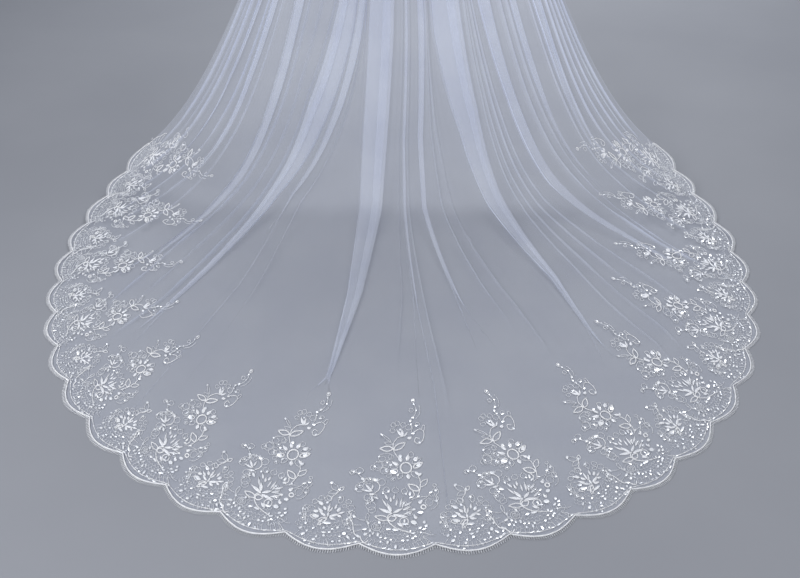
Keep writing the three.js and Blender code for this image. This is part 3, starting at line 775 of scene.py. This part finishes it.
# Satin petals: foot, tip, width
SPIRE_PETALS = (
    ((-20, 87), (-48, 100), 8), ((-22, 91), (-31, 114), 8), ((-31, 104), (-42, 126), 4),
    ((-18, 88), (1, 101), 7), ((-18, 84), (12, 78), 8), ((-30, 124), (-37, 139), 5),
    ((-23, 117), (-25, 131), 5), ((-18, 124), (-16, 138), 5), ((-13, 106), (-10, 127), 4),
    ((-5, 103), (0, 131), 4), ((0, 102), (3, 118), 4), ((5, 107), (20, 118), 5),
    ((1, 96), (15, 103), 5), ((3, 84), (21, 95), 5), ((-21, 80), (-10, 79), 4),
    # the left fan
    ((-63, 145), (-79, 167), 6), ((-64, 151), (-62, 167), 4), ((-65, 145), (-86, 151), 5),
    ((-70, 138), (-56, 139), 6),
    # round the ring flower
    ((24, 235), (33, 247), 11), ((11, 196), (14, 181), 9), ((26, 203), (38, 192), 7),
    ((9, 234), (12, 252), 9), ((-3, 231), (-9, 250), 9), ((-9, 221), (-24, 232), 9),
    # the upper fan
    ((-2, 309), (-15, 331), 7), ((0, 308), (-3, 334), 6), ((2, 309), (10, 323), 5),
    ((10, 302), (19, 308), 9),
    # satin rounds
    ((24, 76), (32, 79), 9), ((33, 116), (42, 119), 9), ((-9, 62), (3, 52), 7),
)
# Outlined leaves: foot, tip, width, thread
SPIRE_OVALS = (
    ((-27, 71), (-56, 79), 12, 2.4), ((-29, 71), (-11, 77), 14, 2.8), ((35, 149), (12, 167), 15, 2.9),
    ((38, 160), (53, 183), 12, 2.0), ((-22, 270), (-51, 271), 15, 3.0), ((-20, 266), (5, 291), 14, 3.0),
    ((23, 214), (43, 231), 12, 3.0), ((-11, 207), (-27, 197), 12, 2.4), ((-2, 199), (-9, 181), 11, 1.6),
    ((20, 226), (40, 244), 11, 1.4), ((19, 204), (34, 184), 12, 1.6), ((-26, 291), (-50, 317), 6, 1.4),
    ((-22, 284), (-42, 288), 9, 1.3), ((-10, 214), (-28, 216), 10, 1.4),
    ((-15, 142), (-14, 159), 15, 1.4), ((-34, 143), (-33, 160), 14, 1.4), ((3, 139), (6, 157), 13, 1.6),
)
# Rings: place, radius, thread, height for its width
SPIRE_RINGS = (
    (7, 214, 12, 3.4, 1.3), (4, 67, 9, 2.0, 1), (44, 105, 5, 3.4, 1.1), (-65, 107, 10, 1.5, 1.1),
    (-72, 129, 8, 1.4, 1.1), (-62, 96, 8, 1.2, 1), (-90, 153, 9, 1.5, 1), (-44, 172, 8, 1.4, 1.2),
    (-72, 176, 9, 1.2, 1), (62, 140, 6, 1.4, 1), (70, 128, 6, 1.3, 1.2), (68, 165, 4, 1.4, 1),
    (56, 118, 8, 1.2, 1.3), (-45, 240, 8, 1.3, 1), (-52, 222, 10, 1.3, 1), (-40, 205, 9, 1.3, 1),
    (-64, 214, 6, 1.3, 1.3), (-22, 344, 6, 1.4, 1.2), (-14, 350, 6, 1.4, 1.3), (-24, 326, 6, 1.3, 1),
    (0, 346, 6, 1.4, 1.3), (12, 338, 7, 1.3, 1.2), (22, 428, 4, 1.8, 1.6), (18, 395, 5, 1.6, 1.3),
    (32, 348, 5, 1.4, 1), (-52, 52, 10, 1.4, 1), (-52, 52, 6, 1.2, 1), (-52, 52, 2.6, 1.2, 1),
    (-92, 204, 8, 1.4, 1), (-108, 200, 6, 1.4, 1), (-26, 246, 6, 1.2, 1.2), (18, 252, 6, 1.4, 1.3),
)
# Stems: thread, points
SPIRE_STEMS = (
    (2.4, ((-20, 87), (-28, 82), (-30, 74), (-25, 62), (-13, 50), (2, 43), (20, 37))),
    (2.2, ((22, 148), (25, 138), (20, 128))),
    (1.8, ((30, 128), (36, 148), (38, 162), (37, 180), (33, 190))),
    (1.4, ((18, 124), (34, 131), (52, 134))),
    (2.2, ((-58, 142), (-50, 150), (-48, 161), (-54, 173), (-62, 180))),
    (1.6, ((-62, 182), (-74, 180), (-86, 184), (-96, 196), (-108, 203), (-112, 196))),
    (1.6, ((-100, 148), (-98, 162), (-90, 170), (-80, 172))),
    (1.8, ((-11, 244), (-20, 262), (-22, 276), (-20, 291), (-11, 306), (0, 309))),
    (1.8, ((24, 322), (36, 333), (46, 326), (46, 308), (42, 294), (34, 286), (26, 293), (28, 305),
           (37, 302))),
    (1.6, ((41, 330), (44, 345), (49, 342), (46, 324))),
    (1.6, ((18, 322), (20, 338), (16, 352), (17, 364), (24, 374), (28, 388), (28, 402), (24, 416),
           (22, 423))),
    (1.3, ((28, 366), (36, 380), (38, 396), (36, 411))),
    (1.4, ((38, 122), (50, 130), (57, 141), (64, 152), (69, 162))),
    (1.5, ((58, 98), (68, 104), (74, 118), (70, 134), (76, 146), (72, 158))),
    (1.4, ((-58, 232), (-46, 226), (-44, 214), (-52, 206), (-62, 210), (-62, 222))),
    (1.4, ((-32, 236), (-24, 244), (-28, 256), (-40, 256), (-52, 250))),
    (2.0, ((-104, 86), (-106, 74), (-100, 60), (-98, 44), (-94, 32), (-84, 25))),
    (2.6, ((-84, 28), (-80, 17), (-74, 12), (-67, 17))),
    (1.5, ((-70, 60), (-74, 76), (-71, 86), (-67, 80), (-70, 62), (-64, 44))),
    (1.4, ((-98, 78), (-84, 70), (-74, 68))), (1.4, ((-97, 56), (-82, 56))),
    (1.4, ((-95, 40), (-82, 44), (-72, 46))), (1.4, ((22, 22), (28, 12))), (1.4, ((34, 24), (44, 9))),
    (1.6, ((42, 28), (55, 18), (58, 12), (51, 10), (55, 18))), (1.4, ((42, 40), (56, 33), (68, 34))),
)
# Sequins: place, angle, length, width
SPIRE_SEQUINS = (
    (24, 97, 80, 8, 5), (25, 81, 0, 6, 4), (-54, 127, -45, 12, 6), (-62, 122, -20, 6, 5),
    (-41, 142, -15, 7, 4), (-29, 146, -10, 8, 5), (8, 140, 10, 6, 4), (5, 67, 0, 9, 4),
    (7, 59, 95, 14, 5), (24, 63, 110, 13, 10), (38, 89, 70, 11, 8), (45, 64, 20, 7, 6),
    (37, 50, 60, 8, 5), (49, 55, 45, 8, 5), (45, 46, 55, 9, 5), (16, 140, 10, 11, 5),
    (18, 130, 60, 8, 5), (-98, 78, -40, 9, 5), (-64, 7, 90, 9, 4), (-35, -2, 80, 10, 3),
    (-24, -4, 90, 6, 4), (-12, 1, 0, 12, 5), (2, -2, 90, 5, 4), (9, -5, 90, 10, 3),
    (24, -2, 70, 10, 4), (44, 5, 80, 6, 4), (-64, 41, 0, 6, 5), (-75, 45, 75, 10, 5),
    (-73, 32, 60, 9, 5), (-88, 27, -50, 12, 5), (-64, 28, 0, 5, 4), (-58, 34, 10, 6, 4),
    (-48, 31, 15, 9, 5), (-42, 24, 40, 6, 5), (-33, 22, 20, 6, 4), (-28, 12, 5, 8, 5),
    (-22, 19, 80, 5, 4), (-27, 45, 85, 9, 5), (-13, 44, 100, 14, 5), (2, 17, 60, 6, 6),
    (12, 18, 80, 6, 4), (12, 28, 60, 6, 4), (22, 24, 40, 8, 5), (27, 28, 20, 6, 5),
    (23, 36, 65, 10, 4), (17, 41, 20, 5, 4), (38, 38, 20, 5, 4), (-92, 13, 75, 9, 4),
    (-42, 14, 0, 5, 4), (60, 12, 60, 5, 4), (-46, 63, -30, 8, 5), (-68, 60, 0, 6, 4),
    (-58, 178, -50, 9, 7), (-85, 180, 100, 8, 6), (-97, 152, -30, 6, 5), (60, 144, 60, 8, 6),
    (70, 150, 70, 7, 5), (40, 120, 0, 6, 5), (71, 121, 0, 6, 5), (34, 133, 60, 6, 4),
    (-20, 201, -50, 15, 10), (-10, 192, 20, 7, 5), (10, 242, 70, 8, 6), (-5, 248, -30, 8, 6),
    (34, 222, 40, 12, 9), (37, 194, 30, 10, 6), (-7, 330, -20, 6, 5), (22, 318, 70, 9, 6),
    (37, 289, 60, 7, 6), (30, 342, 70, 8, 5), (16, 359, 0, 6, 6), (18, 348, 0, 5, 5),
    (22, 370, 20, 7, 6), (29, 394, 0, 6, 4), (24, 414, -30, 5, 4), (22, 428, 0, 6, 5),
    (-104, 201, 40, 7, 5), (-92, 196, 60, 7, 5), (-52, 246, 40, 6, 4), (-60, 216, 0, 6, 4),
    (-36, 208, 30, 6, 4), (-48, 312, -45, 7, 4), (28, 237, 40, 9, 6), (-26, 222, 60, 8, 5),
)
ROSETTE_PETALS = (
    ((-11, 65), (-28, 76), 6), ((-14, 81), (-22, 92), 7), ((-20, 75), (-32, 85), 6),
    ((-10, 77), (-9, 102), 5), ((-7, 77), (-1, 93), 4), ((3, 87), (6, 102), 5),
    ((8, 82), (16, 91), 7), ((13, 77), (25, 84), 5), ((-5, 66), (15, 77), 7), ((-4, 64), (10, 60), 7),
    ((11, 73), (21, 69), 6), ((-8, 63), (-8, 80), 5), ((-22, 94), (-36, 103), 8),
)
ROSETTE_OVALS = (
    ((-8, 60), (-26, 52), 10, 1.8), ((-10, 60), (-24, 40), 9, 1.8), ((0, 138), (-19, 158), 13, 1.6),
    ((0, 137), (-19, 128), 11, 1.6), ((3, 138), (11, 151), 8, 1.8), ((-8, 108), (-20, 122), 10, 1.4),
    ((10, 104), (14, 126), 10, 1.4), ((-28, 60), (-44, 62), 11, 2.2),
)
ROSETTE_RINGS = (
    (-42, 100, 6, 1.6, 1), (-45, 81, 8, 1.3, 1), (28, 112, 6, 1.4, 1), (36, 97, 7, 1.3, 1),
    (41, 84, 6, 1.2, 1), (-16, 112, 7, 1.3, 1), (22, 99, 5, 1.3, 1), (-30, 112, 6, 1.3, 1),
    (38, 68, 6, 1.3, 1), (30, 58, 6, 1.2, 1), (-48, 64, 6, 1.2, 1), (8, 118, 4, 1.4, 1),
)
ROSETTE_STEMS = (
    (2.0, ((-8, 63), (-16, 58), (-20, 48), (-17, 40))),
    (1.8, ((-10, 108), (-8, 120), (-1, 130), (3, 141))),
    (1.6, ((-61, 86), (-62, 74), (-58, 62), (-52, 50), (-48, 40))),
    (1.5, ((-56, 64), (-52, 56), (-54, 46))),
    (1.5, ((0, 8), (6, -2), (8, -9), (12, -4))),
    (1.4, ((46, 60), (42, 48), (46, 38))),
)
ROSETTE_SEQUINS = (
    (-34, 74, 80, 11, 7), (-32, 61, 95, 16, 8), (-6, 48, 80, 19, 6), (-8, 23, 90, 10, 4),
    (-6, 15, 60, 6, 6), (-24, 2, 60, 7, 6), (-30, -11, 70, 5, 4), (15, 4, 90, 6, 4),
    (33, 65, 20, 6, 5), (34, 28, 20, 9, 7), (43, 20, 135, 11, 5), (26, 19, 70, 6, 4),
    (41, 42, 90, 5, 4), (48, 6, 65, 9, 5), (40, 3, 80, 7, 4), (-48, 12, 60, 10, 6),
    (-42, 21, 0, 5, 4), (-28, 96, 130, 12, 7), (-15, 101, 60, 6, 5), (-62, 75, 0, 7, 4),
    (-65, 62, 40, 6, 5), (-48, 40, 20, 6, 5), (-17, 157, 60, 8, 6), (3, 141, 60, 6, 5),
    (12, 88, 40, 8, 5), (-10, 34, 40, 6, 4), (8, 34, 60, 6, 4), (-30, 30, 40, 7, 5),
    (18, 40, 60, 7, 5), (-20, 10, 30, 6, 4), (56, 20, 30, 6, 4), (-56, 26, 50, 8, 4),
    (28, 8, 70, 6, 4), (-40, -4, 70, 7, 4), (4, 26, 60, 6, 4), (8, 120, 0, 6, 5),
)


def charted(petals, ovals, rings, stems, sequins):
    m = Motif()
    for foot, tip, wide in petals:
        m.petal(foot, tip, wide)
    for foot, tip, wide, width in ovals:
        m.oval(foot, tip, wide, width)
    for s, d, radius, width, tall in rings:
        m.ring(s, d, radius, width, tall)
    for width, points in stems:
        m.stem(points, width)
    for place in sequins:
        m.sequin(*place)
    return m


def spire():
    m = charted(SPIRE_PETALS, SPIRE_OVALS, SPIRE_RINGS, SPIRE_STEMS, SPIRE_SEQUINS)
    m.loops(-20, 88, 30, 36, 100, 5, 9)
    m.loops(-20, 96, 48, -76, -40, 4, 9)
    m.loops(-64, 152, 22, -80, 30, 7, 8)
    m.loops(7, 214, 37, -150, -60, 5, 9)
    m.scales(-12, 96, (38, 46, 54, 62, 70, 78, 86), 128, 232, 8.5)
    m.scales(-52, 52, (14,), -170, 170, 7)
    m.spokes(-12, 96, 90, 104, 142, 218, 15)
    return m


def rosette():
    m = charted(ROSETTE_PETALS, ROSETTE_OVALS, ROSETTE_RINGS, ROSETTE_STEMS, ROSETTE_SEQUINS)
    m.loops(-8, 64, 44, -110, -60, 4, 9)
    m.loops(-8, 66, 40, 62, 110, 5, 8)
    m.scales(-8, 84, (34, 42, 50, 58, 66, 74), 122, 238, 8.5)
    m.spokes(-10, 84, 80, 94, 140, 216, 14)
    return m


class Laid:
    """Gathers strips that lie on the cloth, by their plan, into one mesh."""

    def __init__(self, name):
        self.name = name
        self.x, self.y, self.above, self.faces = [], [], [], []
        self.count = 0

    def add(self, x, y, above, faces):
        self.x.append(np.ravel(x))
        self.y.append(np.ravel(y))
        self.above.append(np.ravel(np.broadcast_to(above, np.shape(x))))
        self.faces.append(faces + self.count)
        self.count += np.size(x)

    def strip(self, sides, low, high):
        """Three lines in plan, of which the middle one lies higher."""
        x, y = (np.stack(v, 1) for v in zip(*sides))
        self.add(x, y, (low, high, low), grid_faces(len(x), 3))

    def made(self, material):
        x, y, above = (np.concatenate(v) for v in (self.x, self.y, self.above))
        points = surface(x, y, above + ridden(x, y))
        return mesh_object(self.name, points, np.concatenate(self.faces), [material])


LIE = 0.0003  # the lace's underside, above the cloth
CORD_FROM = 1.7  # mm: wider threads are cords
THREAD_RISE = 0.0006  # height of a thread's middle for each mm of its width
PETAL_RISE = 0.0018
SEQUIN = {"corners": 8, "above": 0.0016, "dip": 0.0005, "tilt": 0.09}  # dip of its middle, tilt rms
INNER_LINE = {"least": 0.0040, "more": 0.0085,  # inwards from the cord at the cusps, and between
              "steps": 20, "width": 0.0013, "high": 0.0010}
DASH = {"count": 6, "half": (0.018, 0.036), "width": 0.0026, "high": 0.0016}  # count in a scallop


def thread_strip(line, width):
    """A thread's cross lines in plan, with the height of each of their points."""
    step = np.gradient(line, axis=0)
    size = np.hypot(step[:, 0], step[:, 1])[:, None] + 1e-9
    side = np.stack([-step[:, 1], step[:, 0]], 1) / size * width / 2
    return np.stack([line + side, line, line - side], 1), (LIE, LIE + width * THREAD_RISE, LIE)


def laid_lace():
    """The border: its cords, fine threads, satin petals and sequins."""
    motifs = (spire(), rosette())
    cords, threads = Laid("lace_cords"), Laid("lace_threads")
    petals, sequins = Laid("lace_petals"), Laid("lace_sequins")
    corners = SEQUIN["corners"]
    around = 2 * np.pi * np.arange(corners) / corners
    rim = np.arange(corners)
    fan = np.stack([np.full(corners, corners), (rim + 1) % corners, rim], 1)
    for i in range(SCALLOPS):
        m = motifs[i % 2]

        def plan(p):
            across, inward = p[..., 0] - CHART_MIDDLE[0], p[..., 1] - CHART_MIDDLE[1]
            return motif_point(i + 0.5, across / 1000, inward / 1000)

        for line, width in m.threads:
            strip, above = thread_strip(line, width)
            into = cords if width >= CORD_FROM else threads
            into.add(*plan(strip), above, grid_faces(len(line), 3))
        for sides in m.petals:
            strip = np.stack(sides, 1)
            petals.add(*plan(strip), (LIE, LIE + PETAL_RISE, LIE), grid_faces(len(strip), 3))
        for s, d, angle, long, wide in m.sequins:
            flat = np.stack([wide / 2 * np.sin(around), long / 2 * np.cos(around)], 1)
            disc = np.concatenate([turned(flat, s, d, angle), [[s, d]]])
            tilt = rng.normal(0, SEQUIN["tilt"], 2)
            above = SEQUIN["above"] + (disc - (s, d)) @ tilt / 1000
            above[-1] -= SEQUIN["dip"]
            sequins.add(*plan(disc), above, fan)
    return cords, threads, petals, sequins


def inner_strip(laid, count, size):
    """A strip along the line inside the cord, nearest to it at the cusps."""
    inward = INNER_LINE["least"] + INNER_LINE["more"] * np.abs(np.sin(np.pi * count)) ** 0.7
    half = size["width"] / 2
    sides = [edge_point(count, inward + shift) for shift in (half, 0, -half)]
    laid.strip(sides, LIE, LIE + size["high"])


def inner_line():
    """The thread inside the cord, with a dash of thicker thread here and there."""
    line = Laid("lace_inner_line")
    inner_strip(line, np.linspace(0, LAST, SCALLOPS * INNER_LINE["steps"] + 1), INNER_LINE)
    for i in range(SCALLOPS):
        for k in range(DASH["count"]):
            middle = i + (k + rng.uniform(0.25, 0.75)) / DASH["count"]
            half = rng.uniform(*DASH["half"])
            inner_strip(line, np.linspace(middle - half, middle + half, 4), DASH)
    return line


# Steps in a scallop, sides of the tube, length of a turn, and how far the plies stand out
CORD = {"steps": 26, "sides": 10, "lay": 0.009, "lobe": 0.16}


def hem_cord(materials):
    """The twisted cord of the scallops, a tube of two plies."""
    count = np.linspace(0, SCALLOPS, SCALLOPS * CORD["steps"] + 1)
    count[-1] = LAST
    x, y = edge_point(count, 0)
    base = surface(x, y, np.full(len(x), CORD_RADIUS - CLOTH))
    _, _, tx, ty = hem_frame(count)
    sides = CORD["sides"]
    around = 2 * np.pi * np.arange(sides) / sides
    twist = 2 * np.pi * count * SCALLOP / CORD["lay"]
    lobes = 1 + CORD["lobe"] * np.cos(2 * (around[None, :] + twist[:, None]))
    across = CORD_RADIUS * lobes * np.cos(around)
    up = CORD_RADIUS * lobes * np.sin(around)
    points = base[:, None, :] + np.stack([ty[:, None] * across, -tx[:, None] * across, up], -1)
    return mesh_object("hem_cord", points.reshape(-1, 3), tube_faces(len(count), sides), materials)


PICOT = {"pitch": 0.0046, "long": 0.0080, "thick": 0.0009, "high": 0.0008}
PICOT_HALF = PICOT["pitch"] * 0.15  # half its width
PICOT_FOOT = CORD_RADIUS * 0.7  # outwards from the cord's middle
PICOT_STRAY = (-0.12, 0.08)  # of its length


def picots(material):
    """The row of short fine loops that stand out from the cord."""
    laid = Laid("picot_loops")
    total = int(hem_lengths[-1] / PICOT["pitch"])
    t = np.linspace(0, np.pi, 7)
    for k in range(total):
        at = (k + 0.5) / total * SCALLOPS
        long = PICOT["long"] * (1 + rng.uniform(*PICOT_STRAY))
        half = PICOT_HALF / SCALLOP
        outward = PICOT_FOOT + long * np.sin(t) ** 0.6
        sides = []
        for shift in (PICOT["thick"] / 2, 0, -PICOT["thick"] / 2):
            counts = np.clip(at + (half + shift / SCALLOP) * np.cos(t), 0, LAST)
            sides.append(edge_point(counts, -outward - shift * np.sin(t)))
        laid.strip(sides, 0, PICOT["high"])
    return laid.made(material)


# Binding and comb, both plain

ROLL = {"columns": 120, "sides": 20, "square": 0.75, "ends": 24}
ROLL_WAVES = ((0.05, 60, 0), (0.04, 23, 1))  # height, radians in half its length, and phase


def binding(materials):
    low, high = (np.array(c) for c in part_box("gather_binding"))
    centre, size = (low + high) / 2, (high - low)
    columns, sides = ROLL["columns"], ROLL["sides"]
    u = np.linspace(-1, 1, columns)
    around = 2 * np.pi * np.arange(sides) / sides
    puff = 0.90 + sum(high * np.cos(u * turns + phase) for high, turns, phase in ROLL_WAVES)
    puff *= np.sqrt(np.clip(1 - np.abs(u) ** ROLL["ends"], 0.02, 1))
    cy, cz = (np.sign(v) * np.abs(v) ** ROLL["square"] for v in (np.cos(around), np.sin(around)))
    points = np.stack([
        np.repeat(centre[0] + u[:, None] * size[0] / 2, sides, 1),
        centre[1] + puff[:, None] * cy * size[1] / 2,
        centre[2] + puff[:, None] * cz * size[2] / 2], -1)
    faces = tube_faces(columns, sides, clockwise=True)
    return mesh_object("binding_roll", points.reshape(-1, 3), faces, materials)


def comb_material():
    made, tree, shader = material("comb_plastic", (0.88, 0.90, 0.93), 0.18, Coat_Weight=0.4)
    noise = mottle(tree, shader, (0.84, 0.86, 0.90), (0.92, 0.93, 0.96), 40)
    bump(tree, shader, noise, "Fac", 0.0002, 0.3)
    return made


# Build

cloth, cloth_area = tulle()
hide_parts("tulle_veil")
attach(cloth, "root")

thread_look = thread_material("lace_thread", (0.72, 0.74, 0.80), (0.84, 0.86, 0.90), 0.5, 900)
satin = thread_material("satin_petal", (0.80, 0.82, 0.87), (0.90, 0.91, 0.95), 0.34, 1400)
cord_look = thread_material("cord_thread", (0.88, 0.89, 0.93), (0.96, 0.97, 0.99), 0.42, 500)
glint = sequin_material()

cords, threads, petals, sequins = laid_lace()
lace = [cords.made(cord_look), threads.made(thread_look), petals.made(satin), sequins.made(glint),
        inner_line().made(cord_look)]
for piece in lace:
    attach(piece, "root")
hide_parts("lace_border")

cord = hem_cord([cord_look])
loops = picots(thread_look)
roll = binding([thread_material("binding_satin", (0.82, 0.84, 0.90), (0.93, 0.94, 0.98), 0.4, 300)])
for piece, node in ((cord, "scallop_cord"), (loops, "picot_edge"), (roll, "gather_binding")):
    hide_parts(node)
    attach(piece, "root")

comb = bpy.data.objects.get("comb")
if comb:
    comb.data.materials.clear()
    comb.data.materials.append(comb_material())

# Floor, light and camera

FLOOR_HALF = 14.0
BELOW_CLOTH = 0.0006


def floor():
    half, z = FLOOR_HALF, -DROP - BELOW_CLOTH
    corners = [(-half, -half, z), (half, -half, z), (half, half, z), (-half, half, z)]
    paint, tree, shader = material("floor_paint", (0.25, 0.26, 0.29), 0.75)
    mottle(tree, shader, (0.24, 0.25, 0.28), (0.26, 0.27, 0.30), 1.2)
    made = mesh_object("floor", corners, [(0, 1, 2, 3)], [paint], shade=False)


def area_light(name, place, aim, size, power, colour=(1, 1, 1)):
    data = bpy.data.lights.new(name, "AREA")
    data.shape = "RECTANGLE"
    data.size, data.size_y = size
    data.energy = power
    data.color = colour
    lamp = bpy.data.objects.new(name, data)
    bpy.context.scene.collection.objects.link(lamp)
    lamp.location = place
    direction = np.array(aim, float) - np.array(place, float)
    yaw = math.atan2(direction[0], -direction[1])
    pitch = math.atan2(math.hypot(direction[0], direction[1]), -direction[2])
    lamp.rotation_euler = (pitch, 0, yaw + math.pi)


floor()
area_light("key", (-2.0, -3.6, 0.9), (0, -0.9, -1.2), (1.8, 1.8), 105)
area_light("back", (0.6, 2.7, 1.3), (0, -1.1, -1.6), (2.6, 1.2), 125, (0.95, 0.97, 1.0))
area_light("fill", (2.6, -2.4, 1.2), (0, -1.0, -1.4), (2.0, 2.0), 35)
bpy.context.scene.view_settings.view_transform = "Standard"
world = bpy.data.worlds.new("studio")
bpy.context.scene.world = world
world.use_nodes = True
world.node_tree.nodes["Background"].inputs["Color"].default_value = (0.60, 0.63, 0.70, 1)
world.node_tree.nodes["Background"].inputs["Strength"].default_value = 0.40

CAMERA = {"x": -0.0046, "y": -3.35, "z": -0.103, "down": 35.64, "focal_px": 940, "frame_px": 800}
camera_data = bpy.data.cameras.new("camera")
camera_data.sensor_fit = "HORIZONTAL"
camera_data.sensor_width = 36
camera_data.lens = 36 * CAMERA["focal_px"] / CAMERA["frame_px"]
camera = bpy.data.objects.new("camera", camera_data)
camera.location = (CAMERA["x"], CAMERA["y"], CAMERA["z"])
camera.rotation_euler = (math.radians(90 - CAMERA["down"]), 0, 0)
bpy.context.scene.collection.objects.link(camera)
bpy.context.scene.camera = camera
